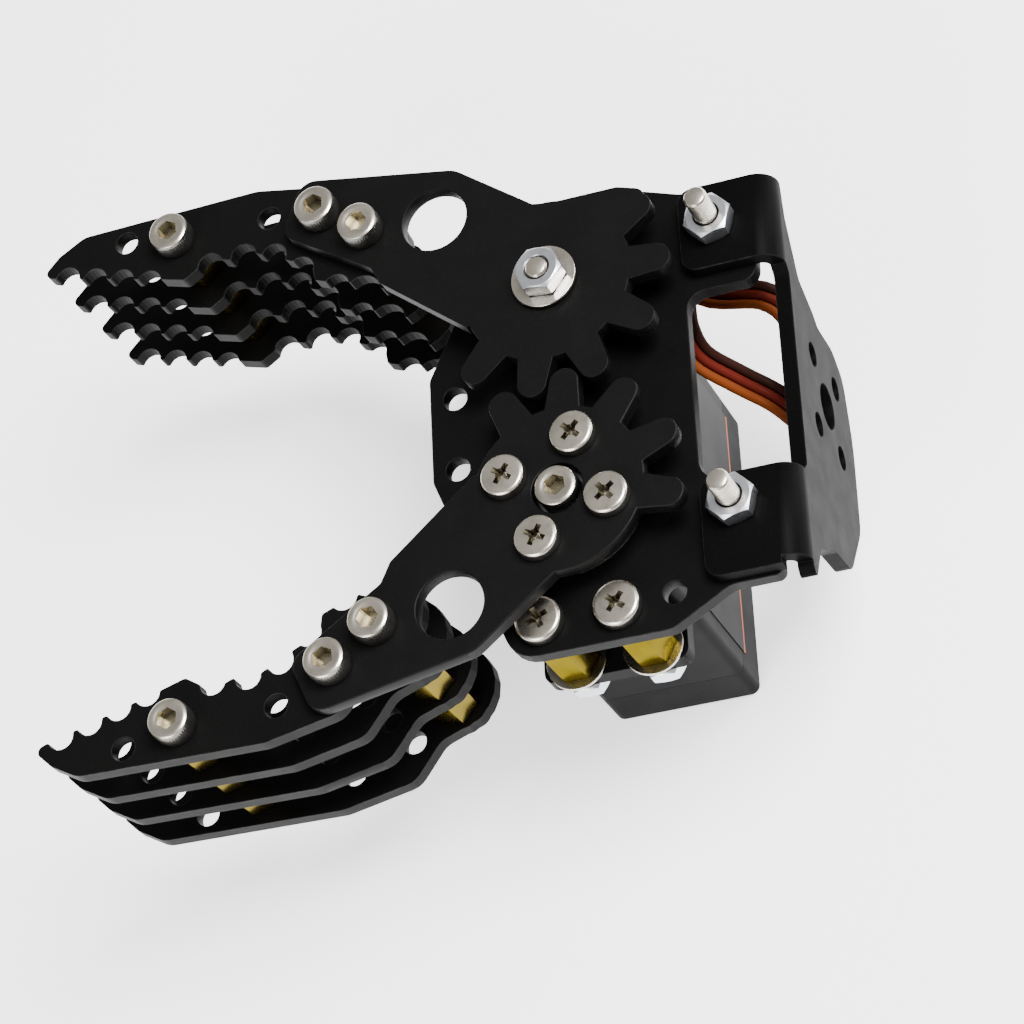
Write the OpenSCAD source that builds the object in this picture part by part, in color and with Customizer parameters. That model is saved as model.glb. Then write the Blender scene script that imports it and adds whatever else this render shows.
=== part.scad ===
// Two-jaw geared gripper with its servo.
// Frame: origin at the centre of the wrist hole circle, on the rear face of the upright bracket plate.
// (The shapes are drawn about the mid-plane point on the base plate's top face and then placed.)
// +X points to the fingertips, +Y towards the driven jaw and the servo shaft, +Z is the base plate normal.

/* [Base plate] */
// Sheet thickness of the base plate, gear links, finger plates and rear bracket, mm
plate_t = 2; // [1.8:0.1:2.1]
// Radius of the plain screw holes for M3 screws, mm
m3_hole_r = 1.6; // [1.55:0.05:1.7]
// Across-flats size of the M3 nuts and hexagonal spacers, mm
hex_af = 5.5; // [5.2:0.1:5.6]

/* [Gears and jaws] */
// Distance between the two jaw pivots, mm
pivot_gap = 29.2; // [29.1:0.05:29.4]
// Angle of each jaw from the mid-plane direction in the stored pose, degrees
rest_angle = 21; // [0:1:30]
// Radius of the gear teeth at their rounded tips, mm
tip_round_r = 1.95; // [1.7:0.05:1.95]
// Radius of the large round hole in each gear link, mm
link_hole_r = 4.4; // [3:0.1:4.8]

/* [Fingers] */
// Length of each hexagonal spacer between two finger plates, mm
spacer_len = 6; // [5:0.5:6]
// Radius of the grip scallops along the inner edge of a finger plate, mm
scallop_r = 1.75; // [1.5:0.05:1.95]

/* [Servo] */
// Width of the servo body, mm
servo_w = 19.7; // [19:0.1:20]
// Wall thickness of the servo case, mm
servo_wall = 1.4; // [1:0.1:1.6]
// Radius of the toothed top of the output shaft, mm
spline_r = 2.95; // [2.8:0.05:2.95]

/* [Rear bracket] */
// Outside radius of the bends between the tabs and the upright plate, mm
bend_r = 3; // [2.8:0.1:3.4]
// Radius of the four holes that take the arm's wrist, mm
wrist_hole_r = 1.6; // [1.5:0.05:1.7]

/* [Lead] */
// Width of the three-wire servo lead, mm
lead_w = 3.8; // [3.4:0.1:4]

/* [Hidden] */
$fn = 48;

hp = pivot_gap / 2;
t = plate_t;
gap = 2;                                   // from the base plate up to the first finger plate
black = [0.08, 0.08, 0.085];
nickel = [0.78, 0.77, 0.74];
brassc = [0.78, 0.6, 0.28];
teeth = 11;
pitch_a = 360 / teeth;
zp = [gap, gap - (t + spacer_len), gap - 2 * (t + spacer_len), gap - 3 * (t + spacer_len)];
zl = gap + t;                              // underside of the gear links
// jaw fastener positions in the jaw frame (along, outward)
pA = [34.2, 5.5];
pB = [27.2, 3.8];
pF = [55.5, 0.4];
pK = [62.9, -0.8];
pL = [43, 5.1];
ear_x = 5;
ear_yf = hp + 14.4;
ear_yr = hp - 35.1;
sv_y0 = hp - 30.7;                         // rear end of the servo body
sv_y1 = hp + 10;                           // front end of the servo body

// ---------- helpers ----------
module at_driven() { translate([0, hp, 0]) rotate(rest_angle) children(); }
module at_idler() { mirror([0, 1, 0]) translate([0, hp, 0]) rotate(rest_angle) children(); }
module hole(p, r, z0, z1) { translate([p[0], p[1], z0]) cylinder(r = r, h = z1 - z0); }
module disc2(p, r) { translate(p) circle(r = r); }
module hexnut(z0, h, af, bore) {
  translate([0, 0, z0]) difference() {
    intersection() {
      cylinder(r = af / 2 / cos(30), h = h, $fn = 6);
      cylinder(r = af / 2 + 0.32, h = h);
    }
    translate([0, 0, -1]) cylinder(r = bore, h = h + 2);
  }
}
module pan_screw(ztop, shank, r_head = 2.8, h_head = 1.8) {
  // head sits on ztop, shank goes down
  difference() {
    union() {
      translate([0, 0, ztop]) cylinder(r = r_head, h = h_head - 0.5);
      translate([0, 0, ztop + h_head - 0.5]) cylinder(r1 = r_head, r2 = r_head - 0.6, h = 0.5);
      translate([0, 0, ztop - shank]) cylinder(r = 1.5, h = shank + 0.01);
    }
    translate([-1.7, -0.35, ztop + h_head - 1]) cube([3.4, 0.7, 2]);
    translate([-0.35, -1.7, ztop + h_head - 1]) cube([0.7, 3.4, 2]);
  }
}
module socket_screw(ztop, shank) {
  difference() {
    union() {
      translate([0, 0, ztop]) cylinder(r = 2.75, h = 2.7);
      translate([0, 0, ztop + 2.7]) cylinder(r1 = 2.75, r2 = 2.45, h = 0.3);
      translate([0, 0, ztop - shank]) cylinder(r = 1.5, h = shank + 0.01);
    }
    translate([0, 0, ztop + 1.4]) cylinder(r = 1.45, h = 2, $fn = 6);
  }
}
function fil(a, b, c, r) = // arc points of radius r at corner b
  let (u = (a - b) / norm(a - b), v = (c - b) / norm(c - b), cs = u * v, ha = acos(cs) / 2,
       d = r / tan(ha), m = (u + v) / norm(u + v), o = b + m * (r / sin(ha)),
       p0 = b + u * d, p1 = b + v * d,
       a0 = atan2(p0[1] - o[1], p0[0] - o[0]), a1r = atan2(p1[1] - o[1], p1[0] - o[0]),
       da = (a1r - a0 > 180) ? a1r - a0 - 360 : ((a1r - a0 < -180) ? a1r - a0 + 360 : a1r - a0),
       n = max(3, ceil(abs(da) / 15)))
  [for (i = [0:n]) o + r * [cos(a0 + da * i / n), sin(a0 + da * i / n)]];
function rounded(v) = let (n = len(v)) [for (i = [0:n - 1])
  each (v[i][2] == 0 ? [[v[i][0], v[i][1]]]
    : fil([v[(i + n - 1) % n][0], v[(i + n - 1) % n][1]], [v[i][0], v[i][1]], [v[(i + 1) % n][0], v[(i + 1) % n][1]], v[i][2]))];

// ---------- base ----------
module g_base_plate() color(black) {
  translate([0, 0, -t]) linear_extrude(t) difference() {
    polygon(rounded([[18.3, -7.5, 1.5], [18.3, 7, 1.5], [8.6, 33.2, 4.2], [-11.5, 33.2, 3], [-19, 29, 3],
      [-25.5, 29, 1], [-25.5, 14.5, 1], [-16.2, 14.5, 2.5], [-16.2, -11.5, 2.5], [-25.5, -11.5, 2],
      [-25.5, -26, 1.5], [-16.5, -26, 3], [-11.5, -27.8, 3], [8, -27.8, 3]]));
    disc2([0, hp], 7);
    disc2([0, -hp], m3_hole_r);
    for (x = [-ear_x, ear_x], y = [ear_yr, ear_yf]) disc2([x, y], m3_hole_r);
    disc2([14.9, -4.2], m3_hole_r);
    disc2([14.9, 5.8], m3_hole_r);
    disc2([-12, 28.5], 1.5);
    disc2([-20.8, -19.5], m3_hole_r);
    disc2([-20.8, 19.5], m3_hole_r);
  }
}
module g_rear_bracket() color(black) {
  x0 = -26;                               // start of the bend
  ri = bend_r - t;
  difference() {
    union() {
      // two tabs on the base plate
      linear_extrude(t) polygon(rounded([[-16.5, -25.2, 2], [-16.5, -13.4, 2], [x0, -13.4, 0], [x0, -25.2, 0]]));
      linear_extrude(t) polygon(rounded([[-16.5, 15.3, 2], [-16.5, 28.6, 2], [x0, 28.6, 0], [x0, 15.3, 0]]));
      // two bends
      for (s = [[-25.2, 11.8], [15.3, 12.2]])
        translate([x0, s[0], -ri]) rotate([-90, 0, 0]) mirror([0, 1, 0])
          rotate([0, 0, 90]) linear_extrude(s[1]) intersection() {
            difference() { circle(r = bend_r); circle(r = ri); }
            square([bend_r + 1, bend_r + 1]);
          }
      // upright plate
      translate([x0 - ri, 0, 0]) rotate([90, 0, -90]) linear_extrude(t) difference() {
        union() {
          polygon(rounded([[25.2, -ri, 0], [25.2, -ri - 0.6, 0.4], [20.6, -2.6, 1], [14, -6.6, 2], [12, -12, 2], [10.8, -14, 2], [10.8, -20, 3],
            [8.6, -24.4, 4], [0, -26.6, 20], [-12.8, -26, 5], [-20.9, -19.6, 3.5], [-21.5, -12.4, 3], [-24, -5.4, 2.4], [-29.6, -2.2, 0.8],
            [-28.2, -ri, 0], [-15.3, -ri, 0], [-14.3, -2.2, 1], [12.4, -2.2, 1], [13.4, -ri, 0]]));
        }
        // wrist holes
        for (a = [45:90:315]) translate([7 * cos(a), -15 + 7 * sin(a)]) circle(r = wrist_hole_r);
        translate([0, -15]) circle(r = 3);
      }
    }
    for (y = [-19.5, 19.5]) hole([-20.8, y], m3_hole_r, -1, t + 1);
  }
}
module g_bracket_bolts() color(nickel) for (y = [-19.5, 19.5])
  translate([-20.8, y, -t]) rotate([180, 0, 0]) pan_screw(0, 11);
module g_bracket_nuts() color(nickel) for (y = [-19.5, 19.5])
  translate([-20.8, y, 0]) rotate(14) hexnut(t, 2.4, hex_af, 1.52);

module ears4() for (x = [-ear_x, ear_x], y = [ear_yr, ear_yf]) translate([x, y, 0]) children();
module g_ear_screws() color(nickel) ears4() rotate(20) pan_screw(0, 6, 3, 1.9);
module g_ear_standoffs() color(brassc) ears4() {
  difference() {
    translate([0, 0, -12]) cylinder(r = hex_af / 2 / cos(30), h = 12 - t, $fn = 6);
    translate([0, 0, -8]) cylinder(r = 1.52, h = 8);
  }
  translate([0, 0, -18.5]) cylinder(r = 1.45, h = 6.6);
}
module g_ear_washers() color(nickel) ears4() translate([0, 0, -12.5]) difference() {
  cylinder(r = 3.9, h = 0.5);
  translate([0, 0, -1]) cylinder(r = 1.6, h = 3);
}
module g_ear_nuts() color(nickel) ears4() hexnut(-17.4, 2.4, hex_af, 1.52);

// ---------- servo ----------
module body2d(w, y0, y1, r) polygon(rounded([[-w / 2, y0, r], [w / 2, y0, r], [w / 2, y1, r], [-w / 2, y1, r]]));
module g_servo_case_upper() color([0.05, 0.05, 0.055]) difference() {
  union() {
    translate([0, 0, -11.6]) linear_extrude(6.4) body2d(servo_w, sv_y0, sv_y1, 1.2);
    translate([0, hp, -5.21]) cylinder(r = 6.6, h = 2.01);
  }
  translate([0, 0, -11.7]) linear_extrude(4.9) difference() {
    body2d(servo_w - 2 * servo_wall, sv_y0 + servo_wall, sv_y1 - servo_wall, 1);
    for (x = [-7.6, 7.6], y = [sv_y0 + 2.3, sv_y1 - 2.3]) disc2([x, y], 2.1);
  }
  translate([0, hp, -12]) cylinder(r = 5.02, h = 8);        // bearing seat
  translate([0, hp, -6]) cylinder(r = 3.6, h = 4);
  for (x = [-7.6, 7.6], y = [sv_y0 + 2.3, sv_y1 - 2.3]) hole([x, y], 1.05, -12, -5.9);
}
module g_servo_case_middle() color([0.06, 0.06, 0.065]) difference() {
  union() {
    translate([0, 0, -34.6]) linear_extrude(22.9) body2d(servo_w, sv_y0, sv_y1, 1.2);
    translate([0, 0, -15]) linear_extrude(2.5) body2d(servo_w - 0.9, sv_y0 - 6.7, sv_y1 + 6.7, 1.5);
    // small webs under and over the ears
    for (s = [[sv_y1 - 1, 4.2], [sv_y0 - 3.2, 4.2]]) translate([-0.8, s[0], -16.4]) cube([1.6, s[1], 1.41]);
  }
  // motor room, open below
  translate([0, 0, -34.7]) linear_extrude(17.7) body2d(servo_w - 2 * servo_wall, sv_y0 + servo_wall, sv_y1 - servo_wall, 1);
  // gear room, open above
  translate([0, 0, -15]) linear_extrude(6) body2d(servo_w - 2 * servo_wall, sv_y0 + servo_wall, sv_y1 - servo_wall, 1);
  hole([0, hp], 1.7, -18, -10);
  hole([0, sv_y0 + 11], 2.2, -18, -10);
  for (x = [-7.6, 7.6], y = [sv_y0 + 2.3, sv_y1 - 2.3]) hole([x, y], 1.1, -35, -11);
  for (x = [-ear_x, ear_x]) {
    hole([x, ear_yr], 2.2, -16, -12);
    hole([x, ear_yf], 2.2, -16, -12);
    translate([x - 1.1, ear_yf, -16]) cube([2.2, 6, 4]);
    translate([x - 1.1, ear_yr - 6, -16]) cube([2.2, 6, 4]);
  }
  // lead outlet
  translate([-3.1, sv_y0 - 1, -35]) cube([6.2, 3, 2.2]);
}
module g_servo_case_lower() color([0.05, 0.05, 0.055]) difference() {
  translate([0, 0, -41.6]) linear_extrude(6.95) body2d(servo_w, sv_y0, sv_y1, 1.2);
  translate([0, 0, -40.2]) linear_extrude(6) body2d(servo_w - 2 * servo_wall, sv_y0 + servo_wall, sv_y1 - servo_wall, 1);
  for (x = [-7.6, 7.6], y = [sv_y0 + 2.3, sv_y1 - 2.3]) {
    hole([x, y], 1.05, -42, -34);
    hole([x, y], 1.9, -42, -40.9);
  }
  translate([-3.1, sv_y0 - 1, -37.4]) cube([6.2, 3, 4]);
}
module g_servo_case_screws() color(nickel) for (x = [-7.6, 7.6], y = [sv_y0 + 2.3, sv_y1 - 2.3]) translate([x, y, 0]) difference() {
  union() {
    translate([0, 0, -41.9]) cylinder(r = 1.8, h = 1);
    translate([0, 0, -41]) cylinder(r = 0.95, h = 34);
  }
  translate([-1.2, -0.25, -42.2]) cube([2.4, 0.5, 0.8]);
  translate([-0.25, -1.2, -42.2]) cube([0.5, 2.4, 0.8]);
}
module g_servo_shaft_bearing() color(nickel) translate([0, hp, -7]) difference() {
  cylinder(r = 5, h = 2.9);
  translate([0, 0, -1]) cylinder(r = 3.04, h = 5);
}
module g_servo_motor() color([0.6, 0.6, 0.6]) translate([0, sv_y0 + 11, 0]) difference() {
  union() {
    translate([0, 0, -37.2]) cylinder(r = 7.9, h = 20);
    translate([0, 0, -17.3]) cylinder(r = 2.1, h = 1.6);
    translate([0, 0, -38.2]) cylinder(r = 2.4, h = 1.1);
  }
}
module g_servo_motor_pinion() color(brassc) translate([0, sv_y0 + 11, -15.4]) {
  translate([0, 0, -0.3]) cylinder(r = 0.95, h = 1);
  linear_extrude(4) union() {
    circle(r = 1.5);
    for (i = [0:8]) rotate(i * 40) translate([1.2, -0.3]) square([0.9, 0.6]);
  }
}
module g_servo_circuit_board() color([0.05, 0.3, 0.15]) {
  translate([-7.6, sv_y0 + 2 + 3.2, -40.1]) cube([15.2, 29.6, 1.2]);
  for (y = [4:5:24]) translate([-5, sv_y0 + 3 + y, -38.91]) cube([4.2, 2.6, 0.6]);
}
module g_servo_position_sensor() color([0.2, 0.35, 0.3]) translate([0, hp, 0]) difference() {
  translate([0, 0, -27]) cylinder(r = 6, h = 5.5);
  translate([0, 0, -26]) cylinder(r = 1.55, h = 6);
}
module g_servo_lead_grommet() color([0.07, 0.07, 0.07]) difference() {
  union() {
    translate([-3, sv_y0 - 0.9, -37.3]) cube([6, 2.2, 4.4]);
    translate([-3.6, sv_y0 + 1.5, -37.9]) cube([7.2, 0.9, 5.4]);
    translate([-3, sv_y0 + 1.2, -37.3]) cube([6, 0.4, 4.4]);
  }
}
module g_servo_blank_label() color([0.35, 0.2, 0.6]) {
  for (s = [-1, 1]) translate([s * (servo_w / 2 + 0.06) - 0.05, sv_y0 + 3, -35.8]) cube([0.1, 34.5, 17.5]);
}

// ---------- idler pivot ----------
module g_idler_bolt() color(nickel) translate([0, -hp, -t]) difference() {
  union() {
    rotate([180, 0, 0]) socket_screw(0, 11.6);
  }
}
module g_idler_spacer() color(brassc) translate([0, -hp, 0]) difference() {
  cylinder(r = 4.2, h = zl - 0.05);
  translate([0, 0, -1]) cylinder(r = 1.56, h = 9);
}
module g_idler_washer() color(nickel) translate([0, -hp, zl + t + 0.35]) difference() {
  cylinder(r = 4.25, h = 0.5);
  translate([0, 0, -1]) cylinder(r = 1.56, h = 3);
}
module g_idler_nut() color(nickel) translate([0, -hp, 0]) rotate(8) hexnut(zl + t + 0.85, 2.4, hex_af, 1.52);
module g_idler_bush() color(brassc) translate([0, -hp, 0]) difference() {
  union() {
    translate([0, 0, zl]) cylinder(r = 2.48, h = t + 0.01);
    translate([0, 0, zl + t]) cylinder(r = 3.6, h = 0.3);
  }
  translate([0, 0, zl - 1]) cylinder(r = 1.56, h = t + 4);
}

// ---------- output shaft and horn ----------
module g_servo_output_shaft() color(nickel) translate([0, hp, 0]) difference() {
  union() {
    translate([0, 0, -3]) linear_extrude(4.3) union() {
      circle(r = spline_r - 0.25);
      for (i = [0:24]) rotate(i * 360 / 25) translate([spline_r - 0.4, -0.18]) square([0.35, 0.36]);
    }
    translate([0, 0, -10]) cylinder(r = 3, h = 7.01);
    translate([0, 0, -13.8]) linear_extrude(3.9) union() {
      circle(r = 7.4);
      for (i = [0:23]) rotate(i * 15) translate([7, -0.45]) square([1.1, 0.9]);
    }
    translate([0, 0, -25]) cylinder(r = 1.5, h = 11.3);
  }
  translate([0, 0, -6]) cylinder(r = 1.52, h = 9);
}
module g_servo_horn() color([0.86, 0.86, 0.87]) translate([0, hp, 0]) rotate(rest_angle) difference() {
  union() {
    translate([0, 0, -2.4]) cylinder(r = 4.9, h = 4.5);
    translate([0, 0, gap]) cylinder(r = 10, h = t);
  }
  translate([0, 0, -3]) cylinder(r = spline_r + 0.03, h = 4.5);
  translate([0, 0, -3]) cylinder(r = 1.55, h = 9);
  for (a = [47:90:317]) rotate(a) translate([7, 0, 0]) cylinder(r = 1.53, h = 6);
}
module g_horn_centre_screw() color(nickel) translate([0, hp, 0]) rotate(35) socket_screw(zl, 8.6);
module g_horn_screws() color(nickel) at_driven() for (a = [47:90:317]) rotate(a) translate([7, 0, 0]) rotate(a) pan_screw(zl + t, 4.4);

// ---------- gear links ----------
module tooth2d() {
  polygon([[8.6, -2.6], [14.35, -tip_round_r], [14.35, tip_round_r], [8.6, 2.6]]);
  translate([14.35, 0]) circle(r = tip_round_r);
}
module arm2d() {
  polygon(rounded([[4, 9.8, 0], [17.6, 13.8, 4], [38.9, 9.9, 2.6], [38.9, 1.8, 2.2], [24.6, -1.2, 1], [22.4, -3.2, 1], [8.5, -7.8, 0], [0, 0, 0]]));
}
module link2d(first, count) difference() {
  union() {
    arm2d();
    circle(r = 11.1);
    for (i = [0:count - 1]) rotate(first - i * pitch_a) tooth2d();
  }
  disc2([18, 6.5], link_hole_r);
  disc2(pA, m3_hole_r);
  disc2(pB, m3_hole_r);
}
module g_driven_gear_link() color(black) at_driven() translate([0, 0, zl]) linear_extrude(t) difference() {
  link2d(-84.5, 5);
  circle(r = 3.25);
  for (a = [47:90:317]) rotate(a) translate([7, 0]) circle(r = m3_hole_r);
}
module g_idler_gear_link() color(black) at_idler() translate([0, 0, zl]) linear_extrude(t) difference() {
  union() {
    link2d(-84.5 + pitch_a / 2, 6);
    // the last tooth runs on into the outer edge of the arm
    polygon(rounded([[5.4, 10.1, 0], [3, 10.5, 3], [-5.5, 13.7, 2], [-10, 13.9, 1.5], [-9, 9, 0], [0, 9, 0]]));
  }
  circle(r = 2.5);
}

// ---------- finger plates ----------
module finger2d() difference() {
  // the crests between the scallops are slightly rounded
  offset(r = 0.3, $fn = 20) offset(delta = -0.3) difference() {
    union() {
      polygon(rounded([[23, -3, 0.3], [33.2, -2.9, 0.5], [34.4, -0.7, 0], [37.8, -0.6, 0.2], [43.2, -0.1, 0.2], [46.4, -1.5, 0.3], [49.4, -1.5, 0.1], [50.9, -3.3, 0.3],
        [52.2, -5.1, 0.8], [55.8, -5.4, 0.3], [71.8, -7.2, 0.8], [73.8, -7.2, 0.8], [72.4, -4, 1], [69.7, -0.7, 3], [46.2, 8.8, 6],
        [36.2, 10.5, 3], [31, 7.3, 3], [25, 7.4, 2], [22.6, 5.4, 2], [21, 1, 2]]));
      disc2([27, 1.5], 6);
    }
    disc2([25.7, -4], scallop_r + 0.85);
    disc2([29.8, -1.65 - scallop_r], scallop_r);
    disc2([35.7, 0.2 - scallop_r], scallop_r);
    disc2([40.3, 1.6 - scallop_r], scallop_r);
    disc2([44.8, 1.1 - scallop_r], scallop_r);
    disc2([49.2, -0.8 - scallop_r], scallop_r);
    for (i = [0:3]) disc2([57.4 + 4.15 * i, -4.3 - 0.33 * i - scallop_r], scallop_r);
    translate([20, -8]) square([30, 4.9]);
  }
  for (p = [pA, pB, pF, pK, pL]) disc2(p, m3_hole_r);
}
module finger(i) color(black) translate([0, 0, zp[i]]) linear_extrude(t) finger2d();
module g_driven_plate_1() at_driven() finger(0);
module g_driven_plate_2() at_driven() finger(1);
module g_driven_plate_3() at_driven() finger(2);
module g_driven_plate_4() at_driven() finger(3);
module g_idler_plate_1() at_idler() finger(0);
module g_idler_plate_2() at_idler() finger(1);
module g_idler_plate_3() at_idler() finger(2);
module g_idler_plate_4() at_idler() finger(3);
module spacers() color(brassc) for (p = [pB, pF], i = [1:3])
  translate([p[0], p[1], zp[i] + t]) rotate(p[0]) difference() {
    cylinder(r = hex_af / 2 / cos(30), h = spacer_len, $fn = 6);
    translate([0, 0, -1]) cylinder(r = 1.53, h = spacer_len + 2);
  }
module short_screw() color(nickel) translate([pA[0], pA[1], 0]) rotate(12) socket_screw(zl + t, 7);
module long_bolts() color(nickel) {
  translate([pB[0], pB[1], 0]) rotate(40) socket_screw(zl + t, 31);
  translate([pF[0], pF[1], 0]) rotate(5) socket_screw(gap + t, 29);
}
module jaw_nuts() color(nickel) {
  translate([pA[0], pA[1], 0]) rotate(10) hexnut(gap - 2.4, 2.4, hex_af, 1.52);
  for (p = [pB, pF]) translate([p[0], p[1], 0]) rotate(p[0]) hexnut(zp[3] - 2.4, 2.4, hex_af, 1.52);
}
module g_driven_spacers() at_driven() spacers();
module g_driven_short_screw() at_driven() short_screw();
module g_driven_long_bolts() at_driven() long_bolts();
module g_driven_nuts() at_driven() jaw_nuts();
module g_idler_spacers() at_idler() spacers();
module g_idler_short_screw() at_idler() short_screw();
module g_idler_long_bolts() at_idler() long_bolts();
module g_idler_nuts() at_idler() jaw_nuts();

// ---------- lead ----------
// hand-placed route points of the lead, from the servo to the hank
lead_pts = [[0, -17, -35.1], [0, -22, -35.1], [-3, -28, -32.5], [-8.5, -30.5, -25], [-11.5, -26.5, -16.5], [-15, -18.9, -13],
  [-22.4, -16.9, -13.4], [-25, -14.9, -17.6], [-25, -11, -25.5], [-25, -5, -26], [-25, -1, -20], [-22.8, -2.2, -14.2],
  [-18.6, -5.2, -12.6], [-14.2, -8.9, -11.5], [-12.5, -13.2, -11], [-12.2, -18, -10.9], [-11.3, -22.5, -11], [-8, -27, -11.5], [-1, -31.5, -14], [3.5, -35.5, -21],
  [7, -36.5, -28], [10, -33, -33.5], [11.8, -27, -36.8], [12.15, -19.5, -38.8]];
function cr(p0, p1, p2, p3, u) = 0.5 * ((2 * p1) + (p2 - p0) * u + (2 * p0 - 5 * p1 + 4 * p2 - p3) * u * u + (3 * p1 - p0 - 3 * p2 + p3) * u * u * u);
function lp(i) = lead_pts[min(max(i, 0), len(lead_pts) - 1)];
lead_path = [for (i = [0:len(lead_pts) - 2], k = [0:1]) cr(lp(i - 1), lp(i), lp(i + 1), lp(i + 2), k / 2), lead_pts[len(lead_pts) - 1]];
function lt(i) = let (n = len(lead_path), v = lead_path[min(i + 1, n - 1)] - lead_path[max(i - 1, 0)]) v / norm(v);
module g_lead_tube() color([0.45, 0.12, 0.05]) {
  m = 8;
  n = len(lead_path);
  pts = [for (i = [0:n - 1]) let (d = lt(i), s0 = cross([0.31, 0.17, 0.93], d), s = s0 / norm(s0), w = cross(d, s))
    for (j = [0:m - 1]) lead_path[i] + lead_w / 2 * (cos(j * 360 / m) * s + sin(j * 360 / m) * w)];
  polyhedron(points = pts,
    faces = concat([[for (j = [0:m - 1]) m - 1 - j]], [[for (j = [0:m - 1]) (n - 1) * m + j]],
      [for (i = [0:n - 2], j = [0:m - 1]) [i * m + j, i * m + (j + 1) % m, (i + 1) * m + (j + 1) % m, (i + 1) * m + j]]), convexity = 10);
}
// the rest of the lead, folded back and forth into a flat hank on the ground
module g_lead_hank() color([0.45, 0.12, 0.05]) translate([0, 0, -41.6]) linear_extrude(4.4)
  polygon(rounded([[10.3, -52, 9.3], [29, -52, 9.3], [29, 5, 9.3], [10.3, 5, 9.3]]));
module g_lead_tie() color([0.05, 0.05, 0.05]) difference() {
  translate([9.8, -41.5, -41.6]) cube([19.7, 2.5, 4.9]);
  translate([10.25, -42.5, -41.7]) cube([18.8, 5, 4.55]);
}
module g_lead_plug() color([0.03, 0.03, 0.03]) translate([15.8, -22, -37.2]) difference() {
  cube([7.7, 14, 2.6]);
  for (i = [0:2]) translate([1.3 + i * 2.54 - 0.5, 10, 0.8]) cube([1, 5, 1]);
}

// ---------- every piece, moved so the origin is at the centre of the wrist face ----------
module placed() translate([26 + bend_r, 0, 15]) children();
module base_plate() placed() g_base_plate();
module rear_bracket() placed() g_rear_bracket();
module bracket_bolts() placed() g_bracket_bolts();
module bracket_nuts() placed() g_bracket_nuts();
module ear_screws() placed() g_ear_screws();
module ear_standoffs() placed() g_ear_standoffs();
module ear_washers() placed() g_ear_washers();
module ear_nuts() placed() g_ear_nuts();
module servo_case_upper() placed() g_servo_case_upper();
module servo_case_middle() placed() g_servo_case_middle();
module servo_case_lower() placed() g_servo_case_lower();
module servo_case_screws() placed() g_servo_case_screws();
module servo_shaft_bearing() placed() g_servo_shaft_bearing();
module servo_motor() placed() g_servo_motor();
module servo_motor_pinion() placed() g_servo_motor_pinion();
module servo_circuit_board() placed() g_servo_circuit_board();
module servo_position_sensor() placed() g_servo_position_sensor();
module servo_lead_grommet() placed() g_servo_lead_grommet();
module servo_blank_label() placed() g_servo_blank_label();
module idler_bolt() placed() g_idler_bolt();
module idler_spacer() placed() g_idler_spacer();
module idler_washer() placed() g_idler_washer();
module idler_nut() placed() g_idler_nut();
module lead_tube() placed() g_lead_tube();
module lead_hank() placed() g_lead_hank();
module lead_tie() placed() g_lead_tie();
module lead_plug() placed() g_lead_plug();
module servo_output_shaft() placed() g_servo_output_shaft();
module servo_horn() placed() g_servo_horn();
module horn_centre_screw() placed() g_horn_centre_screw();
module horn_screws() placed() g_horn_screws();
module driven_gear_link() placed() g_driven_gear_link();
module driven_plate_1() placed() g_driven_plate_1();
module driven_plate_2() placed() g_driven_plate_2();
module driven_plate_3() placed() g_driven_plate_3();
module driven_plate_4() placed() g_driven_plate_4();
module driven_spacers() placed() g_driven_spacers();
module driven_short_screw() placed() g_driven_short_screw();
module driven_long_bolts() placed() g_driven_long_bolts();
module driven_nuts() placed() g_driven_nuts();
module idler_gear_link() placed() g_idler_gear_link();
module idler_bush() placed() g_idler_bush();
module idler_plate_1() placed() g_idler_plate_1();
module idler_plate_2() placed() g_idler_plate_2();
module idler_plate_3() placed() g_idler_plate_3();
module idler_plate_4() placed() g_idler_plate_4();
module idler_spacers() placed() g_idler_spacers();
module idler_short_screw() placed() g_idler_short_screw();
module idler_long_bolts() placed() g_idler_long_bolts();
module idler_nuts() placed() g_idler_nuts();

// ---------- selection ----------
base_plate();
rear_bracket();
bracket_bolts();
bracket_nuts();
ear_screws();
ear_standoffs();
ear_washers();
ear_nuts();
servo_case_upper();
servo_case_middle();
servo_case_lower();
servo_case_screws();
servo_shaft_bearing();
servo_motor();
servo_motor_pinion();
servo_circuit_board();
servo_position_sensor();
servo_lead_grommet();
servo_blank_label();
idler_bolt();
idler_spacer();
idler_washer();
idler_nut();
lead_tube();
lead_hank();
lead_tie();
lead_plug();
servo_output_shaft();
servo_horn();
horn_centre_screw();
horn_screws();
driven_gear_link();
driven_plate_1();
driven_plate_2();
driven_plate_3();
driven_plate_4();
driven_spacers();
driven_short_screw();
driven_long_bolts();
driven_nuts();
idler_gear_link();
idler_bush();
idler_plate_1();
idler_plate_2();
idler_plate_3();
idler_plate_4();
idler_spacers();
idler_short_screw();
idler_long_bolts();
idler_nuts();
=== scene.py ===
import math
import random

import bpy
import bmesh
from mathutils import Matrix, Vector


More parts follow.
